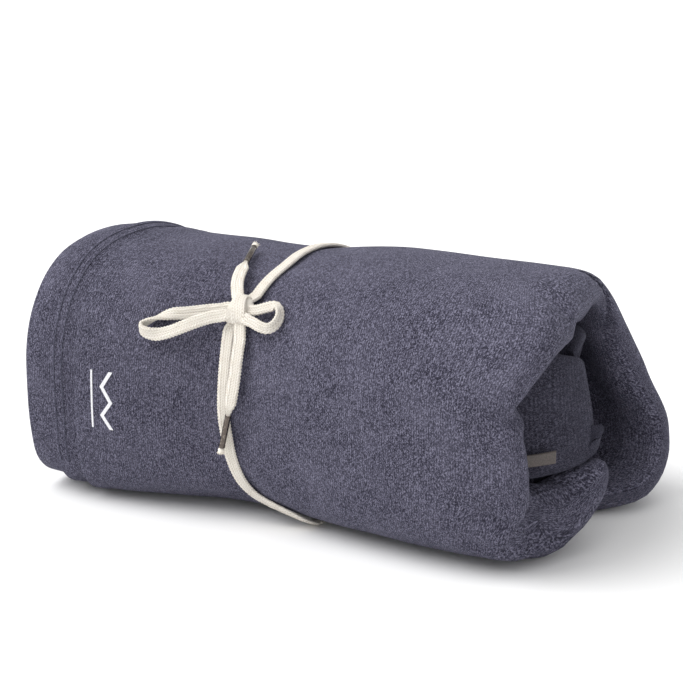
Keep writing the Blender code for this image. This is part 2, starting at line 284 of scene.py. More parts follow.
def skin_thread(bm: bmesh.types.BMesh, rings: Sequence[Sequence[bmesh.types.BMVert]]) -> None:
    """Join rings of vertices into one closed thread, with its faces pointing outwards."""
    count = len(rings[0])
    for low, high in zip(rings, rings[1:]):
        for k in range(count):
            bm.faces.new((low[k], low[(k + 1) % count], high[(k + 1) % count], high[k]))
    bm.faces.new(rings[0])
    bm.faces.new(rings[-1])
    bmesh.ops.recalc_face_normals(bm, faces=list({f for ring in rings for v in ring for f in v.link_faces}))


def apply_modifier(piece: bpy.types.Object, kind: str, **settings: object) -> None:
    """Add one modifier to a piece, set it and apply it.

    Args:
        piece: The object to change.
        kind: Blender's name of the modifier type.
        settings: The modifier's own settings.
    """
    activate(piece)
    modifier = piece.modifiers.new(kind.lower(), kind)
    for key, value in settings.items():
        setattr(modifier, key, value)
    bpy.ops.object.modifier_apply(modifier=modifier.name)
    deselect()


def dress(piece: bpy.types.Object, finish: bpy.types.Material, slot: str, body: str,
          *nodes: str) -> bpy.types.Object:
    """Give a piece its finish and its body, and hide the CAD nodes it stands for.

    Args:
        piece: The piece.
        finish: Its material.
        slot: The record's material slot; not used.
        body: The CAD body it rides on.
        nodes: CAD nodes that it replaces.

    Returns:
        The same piece.
    """
    piece.data.materials.clear()
    piece.data.materials.append(finish)
    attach(piece, body)
    if nodes:
        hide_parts(*nodes)
    return piece


# ---------------------------------------------------------------- shader building

class Wiring:
    """Short way to add and join nodes in one node tree."""

    def __init__(self, tree: bpy.types.NodeTree) -> None:
        """Keep the tree that nodes are added to."""
        self.tree = tree

    def node(self, kind: str, inputs: dict[str | int, object] | None = None,
             **settings: object) -> bpy.types.Node:
        """Add a node.

        Args:
            kind: Blender's name of the node type.
            inputs: Values or output sockets for its inputs.
            settings: The node's own settings.

        Returns:
            The new node.
        """
        made = self.tree.nodes.new(kind)
        for key, value in settings.items():
            setattr(made, key, value)
        for key, value in (inputs or {}).items():
            if isinstance(value, bpy.types.NodeSocket):
                self.tree.links.new(value, made.inputs[key])
            else:
                made.inputs[key].default_value = value
        return made

    def math(self, operation: str, *values: object) -> bpy.types.NodeSocket:
        """Add a Math node and return its output."""
        return self.node("ShaderNodeMath", dict(enumerate(values)), operation=operation).outputs[0]

    def noise(self, vector: bpy.types.NodeSocket, scale: float, detail: float) -> bpy.types.NodeSocket:
        """Add a noise texture and return its value."""
        inputs = {"Vector": vector, "Scale": scale, "Detail": detail}
        return self.node("ShaderNodeTexNoise", inputs).outputs["Fac"]

    def ramp(self, factor: bpy.types.NodeSocket, low: float, high: float) -> bpy.types.NodeSocket:
        """Add a smooth step of a factor between two values and return its output."""
        made = self.node("ShaderNodeMapRange", {"Value": factor, "From Min": low, "From Max": high},
                         interpolation_type="SMOOTHSTEP")
        return made.outputs["Result"]

    def blend(self, factor: object, low: object, high: object) -> bpy.types.NodeSocket:
        """Add a colour mix and return its output."""
        made = self.node("ShaderNodeMix", data_type="RGBA")
        for socket, value in ((made.inputs[0], factor), (made.inputs[6], low), (made.inputs[7], high)):
            if isinstance(value, bpy.types.NodeSocket):
                self.tree.links.new(value, socket)
            else:
                socket.default_value = value
        return made.outputs[2]


def rgb(red: float, green: float, blue: float) -> Colour:
    """Opaque linear colour."""
    return red, green, blue, 1.0


def effect(name: str, inputs: dict[str, tuple[str, object]],
           outputs: dict[str, str]) -> tuple[bpy.types.NodeTree, Wiring]:
    """Start a shader node group.

    Args:
        name: Name of the effect.
        inputs: Input names with their socket type and default value.
        outputs: Output names with their socket type.

    Returns:
        The group and its wiring.
    """
    group = bpy.data.node_groups.new(name, "ShaderNodeTree")
    for label, (kind, value) in inputs.items():
        socket = group.interface.new_socket(label, in_out="INPUT", socket_type=kind)
        if value is not None:
            socket.default_value = value
    for label, kind in outputs.items():
        group.interface.new_socket(label, in_out="OUTPUT", socket_type=kind)
    return group, Wiring(group)


def heather_effect() -> bpy.types.NodeTree:
    """Build the mixed-fibre effect: dark and light fibres flecked over a base colour, with fine fuzz.

    Returns:
        The group, which puts out a colour and a height.
    """
    group, w = effect("heather_fibres",
                      {"Vector": ("NodeSocketVector", None), "Base": ("NodeSocketColor", rgb(0.1, 0.1, 0.15)),
                       "Light Fibre": ("NodeSocketColor", rgb(0.3, 0.3, 0.35)),
                       "Dark Fibre": ("NodeSocketColor", rgb(0.03, 0.03, 0.05)),
                       "Fibre Scale": ("NodeSocketFloat", 700.0)},
                      {"Color": "NodeSocketColor", "Height": "NodeSocketFloat"})
    ins = w.node("NodeGroupInput").outputs
    combed = w.node("ShaderNodeMapping", {"Vector": ins["Vector"], "Scale": (1.0, 1.7, 1.0),
                                          "Rotation": (0.0, 0.0, 0.4)}).outputs["Vector"]
    fine = w.node("ShaderNodeTexVoronoi", {"Vector": combed, "Scale": ins["Fibre Scale"]}).outputs["Color"]
    coarse = w.math("MULTIPLY", ins["Fibre Scale"], 0.6)
    broad = w.node("ShaderNodeTexVoronoi", {"Vector": combed, "Scale": coarse}).outputs["Color"]
    small = w.node("ShaderNodeSeparateColor", {0: fine}).outputs[0]
    large = w.node("ShaderNodeSeparateColor", {0: broad}).outputs[1]
    fleck = w.math("ADD", w.math("MULTIPLY", small, 0.66), w.math("MULTIPLY", large, 0.34))
    drift = w.noise(ins["Vector"], 34.0, 3.0)
    light = w.ramp(fleck, 0.44, 0.86)
    dark = w.ramp(fleck, 0.58, 0.16)
    colour = w.blend(w.math("MULTIPLY", light, 0.9), ins["Base"], ins["Light Fibre"])
    colour = w.blend(w.math("MULTIPLY", dark, 0.8), colour, ins["Dark Fibre"])
    colour = w.blend(w.math("MULTIPLY", w.ramp(drift, 0.35, 0.75), 0.16), colour, ins["Light Fibre"])
    w.node("NodeGroupOutput", {"Color": colour, "Height": fleck})
    return group


def knit_effect() -> bpy.types.NodeTree:
    """Build the fine knit's ribs, which run around the roll and break up a little.

    Returns:
        The group, which puts out a rib mask.
    """
    group, w = effect("knit_ribs", {"Vector": ("NodeSocketVector", None), "Rib": ("NodeSocketFloat", 0.0016)},
                      {"Mask": "NodeSocketFloat"})
    ins = w.node("NodeGroupInput").outputs
    parts = w.node("ShaderNodeSeparateXYZ", {0: ins["Vector"]}).outputs
    wander = w.noise(ins["Vector"], 90.0, 1.0)
    across = w.math("ADD", w.math("DIVIDE", parts[1], ins["Rib"]), w.math("MULTIPLY", wander, 0.35))
    along = w.math("DIVIDE", parts[0], w.math("MULTIPLY", ins["Rib"], 1.3))
    ribs = w.math("SINE", w.math("MULTIPLY", across, math.tau))
    loops = w.math("SINE", w.math("MULTIPLY", w.math("ADD", along, w.math("MULTIPLY", across, 0.5)), math.tau))
    mask = w.math("ADD", w.math("MULTIPLY", ribs, 0.36), w.math("MULTIPLY", loops, 0.14))
    w.node("NodeGroupOutput", {"Mask": w.math("ADD", mask, 0.5)})
    return group


def braid_effect() -> bpy.types.NodeTree:
    """Build the flat braid: slanting strands that meet along the middle of the cord.

    Returns:
        The group, which puts out the strands' height and the gaps between them.
    """
    group, w = effect("flat_braid",
                      {"Vector": ("NodeSocketVector", None), "Strand": ("NodeSocketFloat", 0.0019)},
                      {"Height": "NodeSocketFloat", "Gap": "NodeSocketFloat"})
    ins = w.node("NodeGroupInput").outputs
    parts = w.node("ShaderNodeSeparateXYZ", {0: ins["Vector"]}).outputs
    across = w.math("PINGPONG", parts[1], ins["Strand"])
    slant = w.math("ADD", w.math("DIVIDE", parts[0], ins["Strand"]), w.math("DIVIDE", across, ins["Strand"]))
    strand = w.math("ABSOLUTE", w.math("SINE", w.math("MULTIPLY", slant, math.pi)))
    rows = w.math("DIVIDE", parts[1], ins["Strand"])
    row = w.math("ABSOLUTE", w.math("SINE", w.math("MULTIPLY", rows, math.pi)))
    height = w.math("MULTIPLY", w.math("POWER", strand, 0.5), w.math("POWER", row, 0.35))
    w.node("NodeGroupOutput", {"Height": height, "Gap": w.ramp(height, 0.62, 0.2)})
    return group


@dataclass
class Effects:
    """The shared effects, built once."""

    heather: bpy.types.NodeTree = field(default_factory=heather_effect)
    knit: bpy.types.NodeTree = field(default_factory=knit_effect)
    braid: bpy.types.NodeTree = field(default_factory=braid_effect)


def new_finish(name: str) -> tuple[bpy.types.Material, Wiring, bpy.types.Node]:
    """Start a material.

    Args:
        name: Name of the finish.

    Returns:
        The material, its wiring and its Principled shader.
    """
    made = bpy.data.materials.new(name)
    made.use_nodes = True
    return made, Wiring(made.node_tree), made.node_tree.nodes["Principled BSDF"]


def bump_into(w: Wiring, shader: bpy.types.Node, height: bpy.types.NodeSocket, strength: float,
              depth: float) -> None:
    """Feed a height to a shader's normal.

    Args:
        w: The material's wiring.
        shader: The Principled shader.
        height: Height from 0 to 1.
        strength: Strength of the bump.
        depth: What a height of 1 stands for, in metres.
    """
    made = w.node("ShaderNodeBump", {"Strength": strength, "Distance": depth, "Height": height})
    w.tree.links.new(made.outputs["Normal"], shader.inputs["Normal"])


@dataclass(frozen=True)
class FleeceFinish:
    """Heathered sweatshirt fleece, navy grey with lighter flecks."""

    base: Colour = rgb(0.070, 0.0665, 0.102)
    light: Colour = rgb(0.242, 0.235, 0.318)
    dark: Colour = rgb(0.0085, 0.008, 0.014)
    fibre_scale: float = 1450.0
    outer_run: float = 0.62         # length of cloth from the strip's start to where the inner turns begin
    run_blend: float = 0.08
    inner_dark: float = 0.62        # share of the dark colour in the inner turns

    def make(self, effects: Effects) -> bpy.types.Material:
        """Build the material from the heather and the knit effects."""
        made, w, shader = new_finish("heathered_fleece")
        uv = w.node("ShaderNodeTexCoord").outputs["UV"]
        heather = w.node("ShaderNodeGroup", node_tree=effects.heather)
        for key, value in (("Base", self.base), ("Light Fibre", self.light), ("Dark Fibre", self.dark)):
            heather.inputs[key].default_value = value
        heather.inputs["Fibre Scale"].default_value = self.fibre_scale
        w.tree.links.new(uv, heather.inputs["Vector"])
        knit = w.node("ShaderNodeGroup", {"Vector": uv}, node_tree=effects.knit).outputs["Mask"]
        # The grooves between the knit's ribs are painted darker: painted shade in the recesses.
        between = w.math("MULTIPLY", w.math("SUBTRACT", 1.0, knit), 0.42)
        shade = w.blend(between, heather.outputs["Color"], self.dark)
        # The inner turns are painted darker, a stand-in for the deep shade inside the folded end.
        wound = w.node("ShaderNodeSeparateXYZ", {0: uv}).outputs[0]
        inner = w.ramp(wound, self.outer_run, self.outer_run + self.run_blend)
        shade = w.blend(w.math("MULTIPLY", inner, self.inner_dark), shade, self.dark)
        w.tree.links.new(shade, shader.inputs["Base Color"])
        rough = w.math("ADD", w.math("MULTIPLY", heather.outputs["Height"], 0.12), 0.84)
        w.tree.links.new(rough, shader.inputs["Roughness"])
        shader.inputs["Specular IOR Level"].default_value = 0.12
        shader.inputs["Sheen Weight"].default_value = 0.1
        shader.inputs["Sheen Roughness"].default_value = 0.45
        shader.inputs["Sheen Tint"].default_value = rgb(0.62, 0.64, 0.85)
        height = w.math("ADD", w.math("MULTIPLY", heather.outputs["Height"], 0.75),
                        w.math("MULTIPLY", knit, 0.3))
        bump_into(w, shader, height, 0.75, 0.8 * MM)
        return made


@dataclass(frozen=True)
class CottonFinish:
    """Undyed cotton of the flat braided cord."""

    fibre: Colour = rgb(0.93, 0.88, 0.80)
    # The gap colour is painted shade in the hollows between strands; the worn patches take it too.
    gap: Colour = rgb(0.62, 0.53, 0.41)

    def make(self, effects: Effects, name: str, strength: float) -> bpy.types.Material:
        """Build the material, with its braid as strong as given."""
        made, w, shader = new_finish(name)
        uv = w.node("ShaderNodeTexCoord").outputs["UV"]
        braid = w.node("ShaderNodeGroup", {"Vector": uv}, node_tree=effects.braid).outputs
        grain = w.noise(uv, 2600.0, 2.0)
        wear = w.noise(uv, 160.0, 2.0)
        # The gaps between strands are painted darker: painted shade.
        colour = w.blend(w.math("MULTIPLY", braid["Gap"], 0.75 * strength), self.fibre, self.gap)
        colour = w.blend(w.math("MULTIPLY", w.ramp(wear, 0.4, 0.8), 0.22), colour, self.gap)
        colour = w.blend(w.math("MULTIPLY", w.ramp(grain, 0.45, 0.7), 0.2), colour, rgb(0.95, 0.92, 0.86))
        w.tree.links.new(colour, shader.inputs["Base Color"])
        w.tree.links.new(w.math("ADD", w.math("MULTIPLY", grain, 0.1), 0.82), shader.inputs["Roughness"])
        shader.inputs["Specular IOR Level"].default_value = 0.2
        shader.inputs["Sheen Weight"].default_value = 0.15
        height = w.math("ADD", w.math("MULTIPLY", braid["Height"], strength), w.math("MULTIPLY", grain, 0.3))
        bump_into(w, shader, height, 0.9, 0.8 * MM)
        return made


@dataclass(frozen=True)
class YarnFinish:
    """Spun thread, twisted along its run, for stitches and the label's weave."""

    colour: Colour
    shade: Colour
    roughness: float = 0.8

    def make(self, name: str, scale: float = 900.0) -> bpy.types.Material:
        """Build the material, with its twist at the given scale."""
        made, w, shader = new_finish(name)
        place = w.node("ShaderNodeTexCoord").outputs["Object"]
        twist = w.noise(place, scale, 2.0)
        strands = w.blend(w.ramp(twist, 0.35, 0.65), self.shade, self.colour)
        w.tree.links.new(strands, shader.inputs["Base Color"])
        w.tree.links.new(w.math("ADD", w.math("MULTIPLY", twist, 0.15), self.roughness - 0.08),
                         shader.inputs["Roughness"])
        bump_into(w, shader, twist, 0.5, 0.3 * MM)
        return made


@dataclass(frozen=True)
class MetalFinish:
    """Dark nickel plate, drawn along the tube, a little worn."""

    plate: Colour = rgb(0.12, 0.10, 0.088)
    worn: Colour = rgb(0.34, 0.30, 0.26)

    def make(self) -> bpy.types.Material:
        """Build the material."""
        made, w, shader = new_finish("dark_nickel_plate")
        place = w.node("ShaderNodeTexCoord").outputs["Object"]
        cloud = w.noise(place, 420.0, 3.0)
        drawn = w.noise(place, 3200.0, 1.0)
        w.tree.links.new(w.blend(w.ramp(cloud, 0.5, 0.75), self.plate, self.worn), shader.inputs["Base Color"])
        w.tree.links.new(w.math("ADD", w.math("MULTIPLY", drawn, 0.08), 0.14), shader.inputs["Roughness"])
        shader.inputs["Metallic"].default_value = 1.0
        bump_into(w, shader, drawn, 0.05, 0.04 * MM)
        return made


# ---------------------------------------------------------------- the blanket

@dataclass
class FoldedBlanket:
    """Throw-sized sheet, folded in half twice across its width and rolled up along its length.

    Across the width the cloth runs: outermost ply from its hem to the big fold, innermost ply back to the
    left fold, third ply to the small fold, and second ply back to the other hem.
    """

    flat: tuple[float, float] = (1.372, 2.134)
    cloth: float = 2.7 * MM
    outer_hem: float = -162 * MM
    second_hem: float = -182 * MM
    left_fold: float = -204.5 * MM
    stack: float = 12 * MM
    slack: float = 2.4 * MM
    start_angle: float = -80.0
    turns: int = 5
    last_turn_share: float = 0.6
    dive_start: float = 246.0
    bend_start: float = 108 * MM
    core_half: float = 12 * MM
    core_back: float = 10 * MM
    seam_back: float = 30 * MM
    deepest: float = 96 * MM
    # Creases across the big fold: angle at its outer side, angle at its inner side, depth in mm.
    fold_creases: tuple[tuple[float, float, float], ...] = (
        (229, 197, 8.0), (248, 201, 9.0), (268, 205, 8.0), (74, 24, 10.0), (166, 152, 4.0))
    tuck: float = 50 * MM       # how far the strip's first corner is pushed back inside
    hem_width: float = 12 * MM
    hem_lift: float = 0.95 * MM
    needle_groove: float = 0.7 * MM
    left_bulge: float = 1.6 * MM
    small_bulge: float = 1.5 * MM
    # Stations along the middle of the inner plies, from the folded end to the hemmed end.
    middles: tuple[float, ...] = tuple(x * MM for x in (60, 20, -25, -45, -70, -115))
    # Big fold's X in mm, evenly spaced around the roll from the back, for each turn.
    reach: tuple[tuple[float, ...], ...] = (
        (179, 167, 162, 165, 172, 176, 176, 164, 169, 170, 166, 184, 200, 190, 199, 195),
        (152, 154, 158, 161, 164, 166, 170, 174, 177, 179, 181, 184, 184, 166, 154, 151),
        (150, 150, 148, 146, 150, 152, 152, 150),
        (145, 146, 144, 142, 146, 148, 148, 146),
        (141, 141, 140, 139, 142, 144, 143, 142))
    pieces: dict[str, bpy.types.Object] = field(default_factory=dict)

    # ---- the stack at one place around the roll

    def edge(self, turn: int, angle: float) -> float:
        """X of the big fold of a turn."""
        return around(self.reach[turn], angle) * MM

    def pad(self, turn: int, x: float, angle: float) -> float:
        """How far the loose plies of a turn stand apart near the big fold."""
        back, front = bump(back_angle(angle), 0, 55), bump(angle % 360, 178, 62)
        edge = self.edge(turn, angle)
        if turn == 0:
            loose = 22 * MM * bump(back_angle(angle), 0, 50) + 43 * MM * bump(angle % 360, 247, 31)
            lip = 7 * MM * front + 42 * MM * bump(angle % 360, 98, 24)
            return (loose * rise(x, edge - 55 * MM, edge - 18 * MM)
                    + lip * rise(x, edge - 40 * MM, edge - 12 * MM))
        return (6 * MM * front + 5 * MM * back) * rise(x, edge - 50 * MM, edge - 14 * MM) if turn == 1 else 0.0

    def squeeze(self, x: float, angle: float) -> float:
        """Share by which the inner turns are pressed flat, front to back, at the folded end."""
        edge = self.edge(1, angle)
        share = min(max((x - self.bend_start) / (edge + 1 * MM - self.bend_start), 0.0), 1.0)
        at_back = rise(math.cos(math.radians(angle)), -0.25, 0.15)
        return mix(1 - math.sqrt(1 - share ** 2.5), rise(share, 0.05, 0.85), at_back)

    def base(self, turn: int, x: float, angle: float) -> float:
        """Depth of the outer face of a turn's stack."""
        if turn == 0:
            return 0.0
        front = bump(angle % 360, 170, 62)
        first = (self.stack + self.pad(0, x, angle) + self.slack + 11 * MM * front * rise(x, 105 * MM, 160 * MM)
                 + 10 * MM * self.squeeze(x, angle))
        return first + (turn - 1) * (self.stack + self.slack) + (self.pad(1, x, angle) if turn > 1 else 0.0)

    def crease(self, turn: float, x: float, angle: float) -> float:
        """Wrinkles and soft waves of the cloth, as depth."""
        t = math.radians(angle)
        place = Vector((x * 11, math.cos(t) * 1.3, math.sin(t) * 1.3 + turn))
        depth = 1.3 * MM * noise.noise(place) + 0.5 * MM * noise.noise(place * 2.7)
        # Gathers that run out from under the cord.
        pull = bump(x, ROLL.tie_x, 26 * MM)
        depth += 0.7 * MM * pull * math.sin(math.radians(angle * 13) + x * 90)
        if turn < 1:
            # The front rounds off towards its lip.
            depth += 7 * MM * rise(x, 118 * MM, 178 * MM) ** 1.5 * bump(angle, 184, 40)
            # The pinch in the front lip, and the dents beside it.
            near = rise(x, 128 * MM, 168 * MM)
            depth += 8.0 * MM * near * bump(angle, 163, 5)
            depth -= 1.6 * MM * near * bump(angle, 158, 6)
            depth += 2.6 * MM * rise(x, 116 * MM, 160 * MM) * bump(angle, 205, 5)
            depth += 1.5 * MM * bump(x, 150 * MM, 14 * MM) * bump(angle, 176, 4)
            # The crease down the top where the lip turns over.
            depth += 4.5 * MM * rise(x, 140 * MM, 172 * MM) * bump(angle, 108, 5)
            # Two soft folds near the corner of the loose back fold.
            for line in (-22, -8):
                depth += 1.6 * MM * rise(x, 160 * MM, 185 * MM) * bump(angle, line + (190 * MM - x) / MM, 3.2)
            # Creases that fan out from the pinch, under the roll's front.
            for line, width, size in ((212, 2.6, 5.0), (228, 3.2, 3.4), (243, 3.6, 3.0)):
                turned = line + 10 * (x / MM - 165) / 30
                depth += size * MM * rise(x, 118 * MM, 160 * MM) * bump(angle, turned, width)
        elif turn < 2:
            fan = rise(x, 120 * MM, 170 * MM)
            for line, width, size in ((196, 3.0, 3.2), (150, 5.0, 2.0), (120, 4.0, 2.4)):
                depth += size * MM * fan * bump(angle % 360, line, width)
        return depth

    def ply_offsets(self, x: float) -> tuple[float, float, float, float]:
        """Depths of the middles of the four plies inside the stack, spaced closer at the hemmed end."""
        near = 1 - rise(x, -210 * MM, -158 * MM)
        return 1.5 * MM, (4.6 - 1.7 * near) * MM, (7.6 - 2.2 * near) * MM, (10.6 - 2.2 * near) * MM

    def place(self, x: float, along: float, inside: float) -> Vector:
        """Point of the cloth.

        Args:
            x: Place along the roll.
            along: Angle that the strip has turned through from the back of the roll.
            inside: Depth inside the stack.

        Returns:
            The point, in the object's frame.
        """
        turn, share = self.turn_at(along)
        angle = along - 360 * turn
        depth = mix(self.base(turn, x, angle), self.base(turn + 1, x, angle), share)
        depth += mix(self.crease(turn, x, angle), self.crease(turn + 1, x, angle), share)
        depth = depth + inside
        easing, limit = 14 * MM, self.deepest
        if depth > limit - easing:
            depth = limit - easing * math.exp(-(depth - limit + easing) / easing)
        point = ROLL.point(x, angle, depth)
        pressed = self.squeeze(x, angle) * (1.0 if turn else share)
        if pressed > 0:
            seam = ROLL.ridge_y + PLACE.y + self.seam_back
            face = ROLL.point(x, angle, depth - inside).y
            point.y += (min(max(face, seam - self.core_half), seam + self.core_back) - face) * pressed
        point.z = max(point.z, min(inside, self.stack) * 0.5 + self.cloth * 0.45)
        return point

    def turn_at(self, along: float) -> tuple[int, float]:
        """Turn that an angle along the strip is in, and how far it has dived under the next."""
        turn = int((along - self.start_angle) // 360)
        angle = along - 360 * turn
        return turn, rise(angle, self.dive_start, self.start_angle + 360)

    # ---- the section across the folded width

    def fold_back(self, x: float, bulge: float, low: float, high: float) -> list[tuple[float, float]]:
        """Points around a flat fold between two plies, which bulges along the roll from x."""
        turned = [math.radians(degrees) for degrees in (40, 90, 140)]
        return [(x + bulge * math.sin(t), (low + high) / 2 + (high - low) / 2 * math.cos(t)) for t in turned]

    def hem_relief(self, from_hem: float) -> float:
        """How far the cloth stands out over a hem, with a groove under each needle's row."""
        lift = self.hem_lift * (1 - rise(from_hem, self.hem_width - 2 * MM, self.hem_width))
        return lift - self.needle_groove * (bump(from_hem, 3 * MM, 1.3 * MM) + bump(from_hem, 9 * MM, 1.3 * MM))

    def section(self, along: float) -> list[Vector]:
        """Points across the cloth's full width at one place along the strip."""
        turn, share = self.turn_at(along)
        angle = along - 360 * turn
        after = min(turn + 1, len(self.reach) - 1)
        edge = mix(self.edge(turn, angle), self.edge(after, angle), share)
        edge -= self.tuck * (1 - rise(along, self.start_angle, self.start_angle + 26))
        jog = 3.0 * MM * noise.noise(Vector((along / 70, 3.1, 0))) if turn else 0.0
        hem, second, left = self.outer_hem + jog, self.second_hem + 0.6 * jog, self.left_fold + 0.4 * abs(jog)

        def gap(x: float) -> float:
            return self.stack + mix(self.pad(turn, x, angle), self.pad(after, x, angle), share)

        nose = gap(edge) * 0.5
        shoulder = edge - nose
        small = shoulder - 3 * MM
        points: list[tuple[float, float]] = []
        # Outermost ply, with its thicker hem.
        for x in (*spread(hem, hem + self.hem_width, 6),
                  *spread(hem + self.hem_width + 5 * MM, 92 * MM, 34)[:-1], *spread(92 * MM, shoulder, 25)):
            points.append((x, self.ply_offsets(x)[0]))
        # Big fold.
        for turn_angle in spread(0, 180, 11)[1:-1]:
            t = math.radians(turn_angle)
            middle = gap(shoulder) / 2
            dent = 0.0
            for outer, inner, size in self.fold_creases if turn == 0 else ():
                line = mix(outer, inner, turn_angle / 180)
                within = math.sin(t) ** 0.5 * (rise(turn_angle, 10, 80) if line > 180 else 1.0)
                dent += size * MM * bump(angle % 360, line, 3.4) * within
            points.append((shoulder + nose * math.sin(t) ** 0.85 - dent,
                           middle - (middle - 1.5 * MM) * math.cos(t)))
        # Innermost ply.
        for x in (*spread(shoulder, 100 * MM, 8), *self.middles, -155 * MM, -175 * MM, left + self.left_bulge):
            points.append((x, self.ply_offsets(x)[3] + gap(x) - self.stack))
        # Left fold.
        points += self.fold_back(left + self.left_bulge, -self.left_bulge, *self.ply_offsets(left)[2:])
        # Third ply.
        for x in (left + self.left_bulge, -190 * MM, -175 * MM, -155 * MM, *reversed(self.middles),
                  *spread(100 * MM, small, 7)):
            points.append((x, self.ply_offsets(x)[2] + 0.66 * (gap(x) - self.stack)))
        # Small fold.
        low, high = (offset + share_of * (gap(small) - self.stack)
                     for offset, share_of in zip(self.ply_offsets(small)[1:3], (0.33, 0.66)))
        points += self.fold_back(small, self.small_bulge, low, high)
        # Second ply, out to its hem.
        for x in (*spread(small, 100 * MM, 7), *self.middles, -148 * MM, *spread(-158 * MM, second, 9)):
            points.append((x, self.ply_offsets(x)[1] + 0.33 * (gap(x) - self.stack)))
        raised = []
        for index, (x, inside) in enumerate(points):
            nearest = hem if index < 30 else second if index > len(points) - 16 else None
            lift = 0.0 if nearest is None else self.hem_relief(x - nearest)
            raised.append(self.place(x, along, max(inside - lift, self.cloth * 0.3)))
        return raised

    def stations(self) -> list[float]:
        """Angles along the strip: close together on the outer turn, further apart inside."""
        values = [self.start_angle]
        end = self.start_angle + 360 * (self.turns - 1 + self.last_turn_share) - 30
        while values[-1] < end:
            along = values[-1]
            fine = 2.1 if 10 < along < 272 else 3.2 if along < 280 else 3.8 if along < 640 else 9.0
            values.append(along + fine)
        return values

    def build(self, fleece: bpy.types.Material) -> bpy.types.Object:
        """Args:
            fleece: The cloth's finish.

        Returns:
            The blanket.
        """
        rows = [self.section(along) for along in self.stations()]
        middle = len(rows[0]) // 6
        runs, widths = [0.0], [0.0]
        for a, b in zip(rows, rows[1:]):
            runs.append(runs[-1] + (b[middle] - a[middle]).length)
        guide = rows[len(rows) // 8]
        for a, b in zip(guide, guide[1:]):
            widths.append(widths[-1] + (b - a).length)
        blanket = grid_mesh("fleece_blanket", rows, lambda r, c: (runs[r], widths[c]), sharp=70)
        apply_modifier(blanket, "SOLIDIFY", thickness=self.cloth, offset=0.0, use_rim=True,
                       use_even_offset=False)
        LOG.info("blanket strip %.2f m long, %.2f m wide", runs[-1], widths[-1])
        dress(blanket, fleece, "fleece", "rolled_blanket", "blanket_outer_turn", "blanket_inner_turns")
        self.pieces["blanket"] = blanket
        return blanket


# ---------------------------------------------------------------- stitching, print and label

@dataclass
class HemStitching:
    """Twin-needle rows along the two hems that show."""

    blanket: FoldedBlanket
    stitch: float = 3.4 * MM
    radius: float = 0.42 * MM
    inset: float = 3 * MM
    needle_gap: float = 6 * MM
    start: float = 14.0
    end: float = 216.0

    def row(self, name: str, x: float, inside: float, yarn: bpy.types.Material) -> bpy.types.Object:
        """Build one row of separate stitches, joined in one mesh.

        Args:
            name: Name of the row.
            x: Place along the roll.
            inside: Depth of the cloth's face inside the stack.
            yarn: The thread's finish.

        Returns:
            The row.
        """
        step = 0.35
        count = int((self.end - self.start) / step)
        path = [self.blanket.place(x, self.start + step * i, inside) for i in range(count)]
        bm = bmesh.new()
        walked, begin = 0.0, 0
        for i in range(1, count):
            walked += (path[i] - path[i - 1]).length
            if walked >= self.stitch:
                self.one(bm, path[begin:i + 1])
                walked, begin = 0.0, i
        return dress(add_mesh(f"{name}_thread", bm), yarn, "stitching_thread", "rolled_blanket", name)

    def one(self, bm: bmesh.types.BMesh, run: Sequence[Vector]) -> None:
        """Add one stitch, a thread that dips into the cloth at both ends."""
        first, last = run[0], run[-1]
        along = (last - first).normalized()
        side = Vector((1, 0, 0)) - along * along.x
        side.normalize()
        out = side.cross(along)
        if out.dot(first - Vector((first.x, ROLL.ridge_y, ROLL.waist_z))) < 0:
            out = -out
        rings = []
        for share in (0.06, 0.25, 0.5, 0.75, 0.94):
            middle = first.lerp(last, share) + out * self.radius * (1.1 * math.sin(math.pi * share) - 0.35)
            size = self.radius * (0.55 + 0.45 * math.sin(math.pi * share))
            spokes = [side * math.cos(k * math.tau / 6) + out * math.sin(k * math.tau / 6) for k in range(6)]
            rings.append([bm.verts.new(middle + spoke * size) for spoke in spokes])
        skin_thread(bm, rings)

    def build(self, yarn: bpy.types.Material) -> list[bpy.types.Object]:
        """Build both rows of both hems."""
        rows = []
        for index, offset in enumerate((self.inset, self.inset + self.needle_gap), start=1):
            rows.append(self.row(f"hem_stitch_outer_{index}", self.blanket.outer_hem + offset, 0.1 * MM, yarn))
            x = self.blanket.second_hem + offset
            face = self.blanket.ply_offsets(x)[1] - self.blanket.cloth / 2 - 0.5 * MM
            rows.append(self.row(f"hem_stitch_inner_{index}", x, face, yarn))
        return rows


@dataclass
class PrintedMark:
    """Plain zigzag and rule printed on the outer ply, near its hem."""

    blanket: FoldedBlanket
    film: float = 0.3 * MM
    start: float = 167.0
    sweep: float = 27.0
    swings: int = 4
    zigzag_inset: float = 26.0      # mm from the hem to the zigzag's middle
    zigzag_height: float = 7.0
    rule_inset: float = 14.5

    def stroke(self, name: str, centre: Callable[[float], float], half: float,
               ink: bpy.types.Material) -> bpy.types.Object:
        """Build one printed line.

        Args:
            name: Name of the line.
            centre: Function from the share of the line's length to X.
            half: Half of its width.
            ink: Its finish.

        Returns:
            The line.
        """
        rings = []
        for share in spread(0, 1, 97):
            x, angle = centre(share), self.start + self.sweep * share
            top = -self.film / MM
            corners = ((x - half, 0.2), (x + half, 0.2), (x + half, top), (x - half, top))
            rings.append([self.blanket.place(cx, angle, 0.15 * MM) + ROLL.normal(cx, angle) * (-lift * MM)
                          for cx, lift in corners])
        piece = grid_mesh(f"{name}_ink", rings, closed_rows=True, capped=True)
        return dress(piece, ink, "print_ink", "rolled_blanket", name)

    def build(self, ink: bpy.types.Material) -> list[bpy.types.Object]:
        """Build the zigzag and the rule."""
        hem = self.blanket.outer_hem

        def swing(share: float) -> float:
            wave = abs((share * self.swings) % 2 - 1) - 0.5
            return hem + (self.zigzag_inset + self.zigzag_height * wave) * MM

        zigzag = self.stroke("print_zigzag", swing, 1.5 * MM, ink)
        rule = self.stroke("print_rule", lambda share: hem + self.rule_inset * MM, 0.7 * MM, ink)
        return [zigzag, rule]


